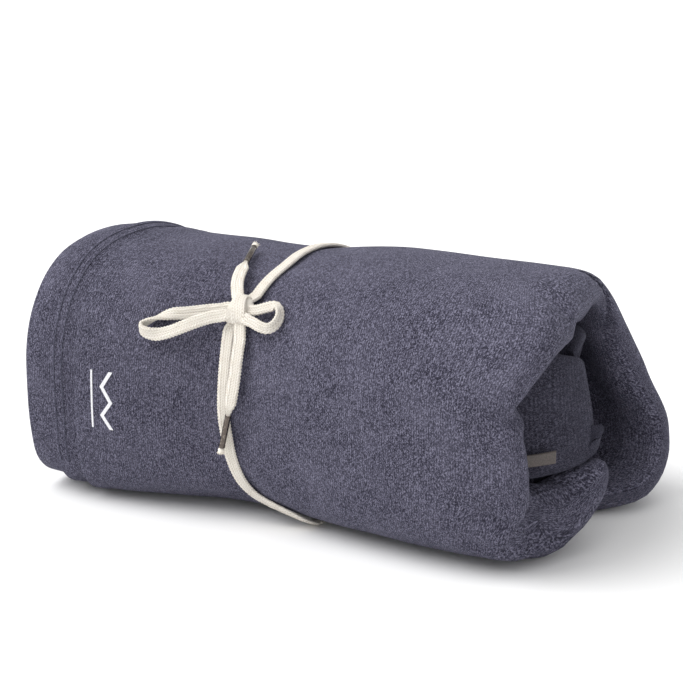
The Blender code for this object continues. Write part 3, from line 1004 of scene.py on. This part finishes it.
@dataclass
class CareLabel:
    """Blank satin label, folded over at its tip, sewn in the slack between the outer and the inner turns."""

    root: Vector = field(default_factory=lambda: Vector((150, -75, 71)) * MM)
    tip: Vector = field(default_factory=lambda: Vector((171, -56, 73)) * MM)
    height: float = 9 * MM
    ply: float = 0.35 * MM
    gap: float = 0.9 * MM
    bow: float = 1.5 * MM           # how far the label curves out between its root and its tip
    bow_turn: float = 2.6
    ripple: float = 0.4 * MM

    def line(self) -> list[Vector]:
        """Points along one ply, around the fold at the tip and back along the other ply."""
        run = self.tip - self.root
        out, onward, half = run.cross(UP).normalized(), run.normalized(), self.gap / 2
        points = []
        for share in spread(0, 1, 15):
            points.append(self.root + run * share + out * (half + self.bow * math.sin(share * self.bow_turn)))
        for degrees in spread(0, 180, 9)[1:-1]:
            t = math.radians(degrees)
            points.append(self.tip + out * (half * math.cos(t) + self.bow * math.sin(self.bow_turn))
                          + onward * (half * math.sin(t)))
        for share in spread(1, 0, 15):
            points.append(self.root + run * share - out * (half - self.bow * math.sin(share * self.bow_turn)))
        return points

    def build(self, satin: bpy.types.Material) -> bpy.types.Object:
        """Build the label from its two plies and the fold that joins them."""
        rows = []
        for share in spread(0, 1, 9):
            lift = self.height * (share - 0.5)
            rows.append([p + PLACE + UP * (lift + self.ripple * math.sin(9 * share + 90 * p.x))
                         for p in self.line()])
        label = grid_mesh("blank_label", rows, sharp=60)
        apply_modifier(label, "SOLIDIFY", thickness=self.ply, offset=0.0)
        return dress(label, satin, "label_satin", "rolled_blanket", "care_label")


# ---------------------------------------------------------------- the cord

class Side(Enum):
    """Which tail or loop of the bow, as its CAD nodes are named."""

    LOWER = "lower"
    UPPER = "upper"
    LEFT = "left"
    RIGHT = "right"


# The tie's route around the roll: angle and X in mm, from below the knot, under the roll and back up to
# the knot.
WRAP_ROUTE = [(145, -51.5), (155, -50), (165, -49.5), (179, -49.5), (190, -47.5), (200, -45), (211, -40),
              (218, -33), (222, -24), (225, -12), (229, -1), (240, 5), (262, 3), (285, -3), (315, -12),
              (340, -20), (0, -25), (20, -29), (45, -33), (65, -36), (79, -36.5), (95, -35.5), (108, -34.5),
              (120, -38), (129, -40.5)]
# Other routes: points in mm, each with the direction that the cord's flat side faces. They start in the knot.
LOWER_TAIL: Route = [((-44.2, -90, 147), (0, -0.8, 0.6)), ((-42, -93.8, 139.5), (0, -0.85, 0.52)),
                     ((-40, -97.5, 133), (0, -0.9, 0.43)), ((-39.4, -100.6, 127), (0, -0.93, 0.37)),
                     ((-39.2, -104, 117), (0, -0.96, 0.25)), ((-39.3, -106.2, 108), (0, -0.98, 0.19)),
                     ((-40.2, -108, 98), (0, -1, 0.08)), ((-41.6, -109, 89), (0, -1, 0)),
                     ((-42.6, -109.2, 83.5), (0, -1, 0))]
LOWER_TIP = (Vector((-42.7, -109.2, 83.2)) * MM, Vector((-0.22, -0.01, -0.975)).normalized())
UPPER_TAIL: Route = [((-46.5, -86, 153.5), (0, -0.75, 0.6)), ((-50.5, -81.5, 158.5), (0, -0.68, 0.73)),
                     ((-54.5, -75.5, 163.4), (0.06, -0.58, 0.81)), ((-57.2, -69.5, 166.5), (0.07, -0.5, 0.86)),
                     ((-59.3, -63, 168.9), (0.07, -0.42, 0.9)), ((-61.3, -56, 170.8), (0.07, -0.34, 0.94)),
                     ((-62.8, -50, 172), (0.06, -0.28, 0.96))]
UPPER_TIP = (Vector((-62.9, -49.7, 172.1)) * MM, Vector((-0.28, 0.94, 0.19)).normalized())
LEFT_LOOP: Route = [((-47.5, -87, 151), (0, -0.7, 0.1)), ((-54.5, -87.2, 150.2), (0.05, -0.7, 0.1)),
                    ((-60, -87.6, 148.6), (0.1, -0.74, 0.2)), ((-68, -88.8, 147.2), (0.2, -0.75, 0.3)),
                    ((-76, -91.1, 145.8), (0.25, -0.75, 0.3)), ((-84, -94.4, 144.6), (0.25, -0.77, 0.3)),
                    ((-92, -98.5, 144), (0.25, -0.8, 0.3)), ((-100, -102.8, 141.8), (0.2, -0.85, 0.3)),
                    ((-106, -106.8, 139.2), (-0.4, -0.8, 0.2)), ((-109, -110.4, 136.8), (-1, -0.3, 0.1)),
                    ((-107.5, -113.6, 134.8), (-0.7, -0.8, 0.1)), ((-102, -114.6, 133.4), (0.1, -0.95, 0.3)),
                    ((-95, -112.8, 133), (0.25, -0.9, 0.35)), ((-87, -109.8, 135.2), (0.25, -0.88, 0.4)),
                    ((-79, -106, 138.8), (0.25, -0.85, 0.4)), ((-70, -101, 142.8), (0.22, -0.82, 0.45)),
                    ((-62, -97.2, 145.6), (0.15, -0.8, 0.5)), ((-55.2, -95, 147), (0.05, -0.8, 0.5)),
                    ((-48.5, -91, 149), (0, -0.8, 0.5))]
RIGHT_LOOP: Route = [((-43, -87.6, 151.6), (0, -0.6, 0.5)), ((-37, -88.6, 151.6), (-0.1, -0.6, 0.5)),
                     ((-32, -88.6, 152.2), (-0.15, -0.65, 0.5)), ((-26, -87.4, 154.2), (-0.2, -0.7, 0.5)),
                     ((-20.5, -86.6, 156), (-0.1, -0.75, 0.5)), ((-16.2, -87, 156), (0.4, -0.5, 0.5)),
                     ((-13.4, -89.3, 153.4), (0.9, -0.2, 0.3)), ((-12.6, -92.6, 149.6), (0.9, -0.5, 0.1)),
                     ((-14.4, -96, 145.8), (0.6, -0.9, 0)), ((-18.4, -98, 143.8), (0, -0.95, 0.3)),
                     ((-24, -98, 144.4), (-0.15, -0.9, 0.45)), ((-30, -96.8, 146), (-0.15, -0.85, 0.5)),
                     ((-35.6, -95.4, 147.2), (-0.1, -0.8, 0.55)), ((-42, -91.5, 149.5), (0, -0.8, 0.5))]
KNOT = Vector((-45.5, -86.5, 150.5)) * MM


def in_frame(route: Route, spacing: float) -> tuple[list[Vector], list[Vector]]:
    """Turn a route into a smooth path.

    Args:
        route: Points in mm with the directions that the flat side faces.
        spacing: Distance between samples, in metres.

    Returns:
        The path in the object's frame, and the facing direction at each of its points.
    """
    path = smooth_path([Vector(point) * MM for point, _ in route], spacing)
    facing = smooth_path([Vector(normal) for _, normal in route], 0.05)
    span = (len(facing) - 1) / (len(path) - 1)
    return [p + PLACE for p in path], [facing[round(i * span)] for i in range(len(path))]


@dataclass
class FlatCord:
    """Flat braided cotton cord, two rounded ribs side by side with a groove between them."""

    cotton: bpy.types.Material
    width: float = 8.8 * MM
    thick: float = 3.0 * MM
    groove: float = 0.55 * MM
    core: float = 2.9 * MM
    strand_pitch: float = 2.3 * MM
    strand_height: float = 0.26 * MM
    sides: int = 32
    edge_power: float = 0.62
    face_power: float = 0.8
    groove_width: float = 0.9 * MM
    end_run: float = 8 * MM         # length over which a pinched end widens
    tube_entry: float = 9 * MM      # length over which the cord goes round before its tube

    def outline(self, width: float, thick: float) -> list[tuple[float, float]]:
        """Points around the cord's section, rounded at its edges and grooved along its middle."""
        points = []
        for k in range(self.sides):
            t = math.tau * k / self.sides
            c, s = math.cos(t), math.sin(t)
            across = width / 2 * math.copysign(abs(c) ** self.edge_power, c)
            up = thick / 2 * math.copysign(abs(s) ** self.face_power, s)
            up -= math.copysign(self.groove, s) * bump(across, 0, self.groove_width) * abs(s)
            points.append((across, up))
        return points

    def sweep(self, name: str, path: Sequence[Vector], facing: Sequence[Vector], width: float, thick: float,
              pinch: tuple[float, float] = (1.0, 1.0), in_tube: float = 0.0) -> bpy.types.Object:
        """Sweep the section along a path.

        Args:
            name: Name of the piece.
            path: The centreline.
            facing: The direction that the flat side faces at each point.
            width: The cord's width.
            thick: Its thickness.
            pinch: Share of the width at the first and at the last 8 mm.
            in_tube: Length at the end that runs round and thin inside a metal tube.

        Returns:
            The cord's piece.
        """
        runs = [0.0]
        for a, b in zip(path, path[1:]):
            runs.append(runs[-1] + (b - a).length)
        rings = []
        for i, centre in enumerate(path):
            ahead = path[min(i + 1, len(path) - 1)] - path[max(i - 1, 0)]
            side = ahead.cross(facing[i]).normalized()
            face = side.cross(ahead).normalized()
            share = mix(pinch[0], 1, rise(runs[i], 0, self.end_run))
            share *= mix(pinch[1], 1, rise(runs[-1] - runs[i], 0, self.end_run))
            full = mix(1.15, 1.0, share)
            mouth = runs[-1] - in_tube
            squeezed = rise(runs[i], mouth - self.tube_entry, mouth + 0.5 * MM) if in_tube else 0.0
            section = self.outline(mix(width * share, self.core, squeezed),
                                   mix(thick * full, self.core, squeezed))
            ring = []
            for u, v in section:
                slant = math.sin(math.tau * (runs[i] + abs(u) * 0.55) / self.strand_pitch)
                out = Vector((u, v)).normalized() * (self.strand_height * slant)
                ring.append(centre + side * (u + out.x) + face * (v + out.y))
            rings.append(ring)
        widths = [0.0]
        section = self.outline(width, thick)
        for (u, v), (p, q) in zip(section, section[1:] + section[:1]):
            widths.append(widths[-1] + math.hypot(p - u, q - v))
        return grid_mesh(name, rings, lambda r, c: (runs[r], widths[c]), closed_rows=True, capped=True,
                         sharp=60)

    def strand(self, name: str, route: Route, body: str, width: float | None = None, thick: float | None = None,
               pinch: tuple[float, float] = (0.7, 1.0),
               tube: Sequence[Vector] = ()) -> tuple[bpy.types.Object, list[Vector]]:
        """Build one tail or loop along its route.

        Args:
            name: Name of the CAD node that it stands for.
            route: Its route.
            body: The body it rides on.
            width: Its width, where it isn't the cord's own.
            thick: Its thickness, where it isn't the cord's own.
            pinch: Share of the width at both ends.
            tube: Points that it goes on through, inside its metal tube.

        Returns:
            The piece and its centreline.
        """
        path, facing = in_frame(route, 0.45 * MM)
        in_tube = path_length([path[-1], *tube])
        path, facing = path + list(tube), facing + [facing[-1]] * len(tube)
        piece = self.sweep(name + "_braid", path, facing, width or self.width, thick or self.thick, pinch,
                           in_tube)
        return dress(piece, self.cotton, "cotton_cord", body, name), path


@dataclass
class CordTip:
    """Metal tube crimped on a tail, and the cotton that frays out beyond it."""

    mouth: Vector
    direction: Vector
    side: Side
    body: str
    length: float = 25.0
    radius: float = 2.1
    wall: float = 0.35
    seam: float = 0.12              # depth of the crimped seam
    outer_threads: int = 13
    inner_threads: int = 7

    def spokes(self, count: int) -> list[Vector]:
        """Unit directions around the tip."""
        first = self.direction.orthogonal().normalized()
        second = self.direction.cross(first)
        turns = [math.tau * k / count for k in range(count)]
        return [first * math.cos(t) + second * math.sin(t) for t in turns]

    def at(self, along: float, spoke: Vector, radius: float) -> Vector:
        """Point along the tip, in mm along and out from its axis."""
        return self.mouth + PLACE + self.direction * (along * MM) + spoke * (radius * MM)

    def tube(self, metal: bpy.types.Material) -> bpy.types.Object:
        """Build the metal tube, with rolled rims and a crimped seam."""
        r, end, bore = self.radius, self.length, self.radius - self.wall
        profile = [(0.6, bore), (0.62, r - 0.08), (0.75, r + 0.06), (1.2, r + 0.12), (1.6, r + 0.06),
                   (2.0, r), (3.4, r), (3.7, r - 0.1), (4.2, r - 0.1), (4.5, r),
                   (end - 3.2, r), (end - 2.9, r - 0.1), (end - 2.4, r - 0.1), (end - 2.1, r),
                   (end - 1.4, r), (end - 1.0, r + 0.08), (end - 0.6, r + 0.12), (end - 0.15, r + 0.04),
                   (end, r - 0.1), (end, bore)]
        rings = []
        for k, spoke in enumerate(self.spokes(32)):
            pressed = self.seam if k == 8 else 0.0
            rings.append([self.at(along, spoke, radius - (pressed if radius > bore else 0.0))
                          for along, radius in profile])
        piece = grid_mesh(f"tip_tube_{self.side.value}", rings + [rings[0]], closed_rows=True, sharp=50)
        activate(piece)
        bpy.ops.object.mode_set(mode="EDIT")
        bpy.ops.mesh.select_all(action="SELECT")
        bpy.ops.mesh.remove_doubles(threshold=0.01 * MM)
        bpy.ops.mesh.normals_make_consistent(inside=False)
        deselect()
        return dress(piece, metal, "dark_nickel", self.body, f"aglet_{self.side.value}")

    def frayed(self, cotton: bpy.types.Material) -> bpy.types.Object:
        """Build the cotton core with its burst of cut threads beyond the tube."""
        bm = bmesh.new()
        core = self.radius - self.wall - 0.3
        self.tuft(bm, [(0.6, core), (self.length + 0.4, core), (self.length + 1.1, core * 1.45),
                       (self.length + 2.0, core * 1.6), (self.length + 2.8, core * 1.1)], Vector(), 14)
        for k, spoke in enumerate(self.spokes(self.outer_threads) + self.spokes(self.inner_threads)):
            lean = 1.35 if k < self.outer_threads else 0.6
            sway = noise.noise(Vector((k * 1.7, 0.3, self.length)))
            lift = self.length + 1.0
            stem = spoke * (lean * MM * (0.8 + 0.5 * sway))
            thread = [(lift, 0.35), (lift + 1.4 + sway, 0.42), (lift + 2.7 + sway, 0.34),
                      (lift + 3.4 + sway, 0.12)]
            self.tuft(bm, thread, stem, 6, spread_out=spoke * (0.35 * MM))
        piece = add_mesh(f"frayed_end_{self.side.value}", bm)
        return dress(piece, cotton, "cotton_cord", self.body, f"cord_end_{self.side.value}")

    def tuft(self, bm: bmesh.types.BMesh, profile: Sequence[tuple[float, float]], stem: Vector, count: int,
             spread_out: Vector = Vector()) -> None:
        """Add one closed round thread.

        Args:
            bm: The mesh to add to.
            profile: Pairs of distance along the tip and radius, in mm.
            stem: Shift of the thread away from the axis.
            count: Points around it.
            spread_out: Extra shift for each further ring.
        """
        rings = []
        for step, (along, radius) in enumerate(profile):
            rings.append([bm.verts.new(self.at(along, spoke, radius) + stem + spread_out * step * step * 0.5)
                          for spoke in self.spokes(count)])
        skin_thread(bm, rings)


@dataclass
class BowKnot:
    """The knot: the cord's own band drawn round the crossing, with its edges folded in. Sizes in mm."""

    cotton: bpy.types.Material
    filling: bpy.types.Material
    lean: float = -41.0             # about X, so that the knot lies square on the roll
    turns: float = 1.42
    first_angle: float = 200.0
    left_edge: float = -5.2
    travel: float = 9.6             # along X, from the band's first to its last turn
    waver: float = 1.0
    half_depth: float = 5.8
    half_height: float = 9.4
    band_width: float = 10.2
    band_thick: float = 3.2
    heart: tuple[float, float, float] = (9.8, 5.0, 9.6)

    def band(self, centre: Vector, tilt: Matrix) -> None:
        """Build the band that winds round the crossing."""
        path, facing = [], []
        for share in spread(0, 1, 141):
            t = math.tau * self.turns * share + math.radians(self.first_angle)
            across = self.left_edge + self.travel * share + self.waver * math.sin(2 * t)
            ring = Vector((across, math.cos(t) * self.half_depth, math.sin(t) * self.half_height)) * MM
            path.append(centre + tilt @ ring)
            facing.append(tilt @ Vector((0.1 * math.sin(t), math.cos(t), math.sin(t) * 0.66)))
        cord = FlatCord(self.cotton)
        band = cord.sweep("bow_knot_band", path, facing, self.band_width * MM, self.band_thick * MM, (0.7, 0.7))
        dress(band, self.cotton, "cotton_cord", "rolled_blanket", "bow_knot")

    def middle(self, centre: Vector, tilt: Matrix) -> None:
        """Build the round heart of crossed cord that fills the band."""
        deselect()
        bpy.ops.mesh.primitive_uv_sphere_add(segments=32, ring_count=20, radius=1, location=(0, 0, 0))
        heart = bpy.context.object
        heart.name = heart.data.name = "bow_knot_heart"
        size = Matrix.Diagonal((*(half * MM for half in self.heart), 1))
        heart.data.transform(Matrix.Translation(centre) @ tilt.to_4x4() @ size)
        heart.data.shade_smooth()
        dress(heart, self.filling, "cotton_cord", "rolled_blanket")

    def build(self) -> None:
        """Build the band and its heart."""
        centre = KNOT + PLACE
        tilt = Matrix.Rotation(math.radians(self.lean), 3, "X")
        self.band(centre, tilt)
        self.middle(centre, tilt)


@dataclass
class Drawcord:
    """The cord around the roll, its bow and its two tipped tails."""

    cotton: bpy.types.Material
    frayed: bpy.types.Material
    metal: bpy.types.Material
    lift: float = 1.98 * MM         # of the wrap's centreline above the cloth
    wrap_step: float = 0.42         # between samples of the wrap's route, which is mostly degrees

    def wrap(self) -> None:
        """Build the run around the roll, tight on the cloth."""
        first = WRAP_ROUTE[0][0]
        unwound = [angle if angle >= first else angle + 360 for angle, _ in WRAP_ROUTE]
        guide = [Vector((x * MM, angle, 0)) for angle, (_, x) in zip(unwound, WRAP_ROUTE)]
        route = smooth_path(guide, self.wrap_step)
        path = [ROLL.point(p.x, p.y, -self.lift) for p in route]
        facing = [ROLL.normal(p.x, p.y) for p in route]
        ends = [KNOT + PLACE + Vector((-1.5, 1.5, -4)) * MM, KNOT + PLACE + Vector((1, 2, 3)) * MM]
        path, facing = [ends[0]] + path + [ends[1]], [facing[0]] + facing + [facing[-1]]
        cord = FlatCord(self.cotton)
        piece = cord.sweep("tie_wrap_braid", path, facing, cord.width, cord.thick, (0.75, 0.75))
        dress(piece, self.cotton, "cotton_cord", "rolled_blanket", "tie_wrap")
        LOG.info("wrap %.3f m", path_length(path))

    def tail(self, side: Side, route: Route, tip: tuple[Vector, Vector]) -> None:
        """Build one tail with its tip.

        Args:
            side: Which tail.
            route: Its route.
            tip: Mouth and direction of its metal tube.
        """
        body = f"{side.value}_tail"
        end = CordTip(*tip, side=side, body=body)
        tube, fray = end.tube(self.metal), end.frayed(self.frayed)
        inside = [end.at(along, Vector(), 0) for along in spread(1, end.length - 0.3, 17)]
        cord = FlatCord(self.cotton)
        piece, path = cord.strand(f"tail_{side.value}", route, body, tube=inside)
        LOG.info("%s tail %.3f m", side.value, path_length(path))

    def loop(self, side: Side, route: Route, width: float, thick: float) -> None:
        """Build one loop of the bow.

        Args:
            side: Which loop.
            route: Its route, out of the knot and back into it.
            width: Width of the cord there.
            thick: Thickness of the cord there.
        """
        cord = FlatCord(self.cotton)
        piece, path = cord.strand(f"bow_loop_{side.value}", route, f"{side.value}_loop", width, thick,
                                  pinch=(0.62, 0.62))
        LOG.info("%s loop %.3f m", side.value, path_length(path))

    def build(self) -> None:
        BowKnot(self.cotton, self.frayed).build()
        self.wrap()
        self.loop(Side.LEFT, LEFT_LOOP, width=8.8 * MM, thick=3.0 * MM)
        self.loop(Side.RIGHT, RIGHT_LOOP, width=7.6 * MM, thick=2.6 * MM)
        self.tail(Side.LOWER, LOWER_TAIL, LOWER_TIP)
        self.tail(Side.UPPER, UPPER_TAIL, UPPER_TIP)


# ---------------------------------------------------------------- studio

@dataclass
class Studio:
    """Pale floor, soft lights and the camera."""

    spot: Vector = field(default_factory=lambda: Vector((0.6250, -1.1892, 0.522)))
    down: float = 17.0
    heading: float = 28.0
    film: float = 36.0
    lens: float = 105.41728
    sky: float = 0.71               # strength of the light that the backdrop gives
    backdrop_extra: float = 0.45    # what the camera alone sees more of it

    def camera(self) -> None:
        """Place the camera, in front and a little to the right, looking down."""
        data = bpy.data.cameras.new("view")
        data.lens, data.sensor_width = self.lens, self.film
        data.clip_start, data.clip_end = 0.05, 50
        view = bpy.data.objects.new("view", data)
        view.location = self.spot
        view.rotation_euler = (math.radians(90 - self.down), 0, math.radians(self.heading))
        bpy.context.scene.collection.objects.link(view)
        bpy.context.scene.camera = view

    def light(self, name: str, heading: float, height: float, softness: float,
              power: float) -> bpy.types.Object:
        """Add one distant soft light.

        Args:
            name: Name of the light.
            heading: Where it stands, in degrees around the object from the front, to the right.
            height: Its height above the floor, in degrees.
            softness: Width of the light in the sky, in degrees.
            power: Strength on a surface that faces it.

        Returns:
            The light.
        """
        data = bpy.data.lights.new(name, "SUN")
        data.angle, data.energy = math.radians(softness), power
        lamp = bpy.data.objects.new(name, data)
        lamp.rotation_euler = (math.radians(90 - height), 0, math.radians(heading))
        bpy.context.scene.collection.objects.link(lamp)
        return lamp

    def build(self) -> None:
        """Build floor, lights, sky and camera."""
        deselect()
        bpy.ops.mesh.primitive_plane_add(size=60, location=(0, 0, 0))
        floor = bpy.context.object
        floor.name = floor.data.name = "floor"
        made, _, shader = new_finish("pale_floor")
        shader.inputs["Base Color"].default_value = rgb(0.93, 0.93, 0.93)
        shader.inputs["Roughness"].default_value = 0.9
        floor.data.materials.append(made)
        key = self.light("key", -58, 48, 50, 2.5)
        top = self.light("top", -110, 76, 70, 0.55)
        world = bpy.data.worlds.new("studio")
        bpy.context.scene.world = world
        world.use_nodes = True
        sky = world.node_tree.nodes["Background"]
        sky.inputs["Color"].default_value = rgb(1, 1, 1)
        ray = world.node_tree.nodes.new("ShaderNodeLightPath")
        seen = world.node_tree.nodes.new("ShaderNodeMath")
        seen.operation = "MULTIPLY_ADD"
        seen.inputs[1].default_value, seen.inputs[2].default_value = self.backdrop_extra, self.sky
        world.node_tree.links.new(ray.outputs["Is Camera Ray"], seen.inputs[0])
        world.node_tree.links.new(seen.outputs[0], sky.inputs["Strength"])
        bpy.context.scene.view_settings.view_transform = "Standard"
        self.camera()


# ---------------------------------------------------------------- assembly

def main() -> None:
    """Build every piece around the frame."""
    logging.basicConfig(level=logging.INFO, format="%(message)s")
    for old in list(bpy.data.objects):
        bpy.data.objects.remove(old)
    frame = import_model()
    deselect()
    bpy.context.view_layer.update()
    LOG.info("%d CAD nodes", len(frame["nodes"]))

    effects = Effects()
    fleece = FleeceFinish().make(effects)
    cotton = CottonFinish().make(effects, "braided_cotton", 1.0)
    frayed = CottonFinish().make(effects, "loose_cotton", 0.25)
    yarn = YarnFinish(rgb(0.11, 0.11, 0.16), rgb(0.05, 0.05, 0.08)).make("hem_thread")
    ink = YarnFinish(rgb(0.86, 0.86, 0.87), rgb(0.66, 0.66, 0.70), 0.7).make("print_ink", 1600.0)
    # The label's dark brown is painted shade, for the deep shade it sits in between the turns.
    satin = YarnFinish(rgb(0.10, 0.08, 0.075), rgb(0.06, 0.05, 0.045), 0.5).make("label_satin", 1200.0)
    metal = MetalFinish().make()

    Studio().build()
    Drawcord(cotton, frayed, metal).build()
    blanket = FoldedBlanket()
    blanket.build(fleece)
    trims = HemStitching(blanket).build(yarn) + PrintedMark(blanket).build(ink)
    CareLabel().build(satin)


if __name__ == "__main__":
    main()
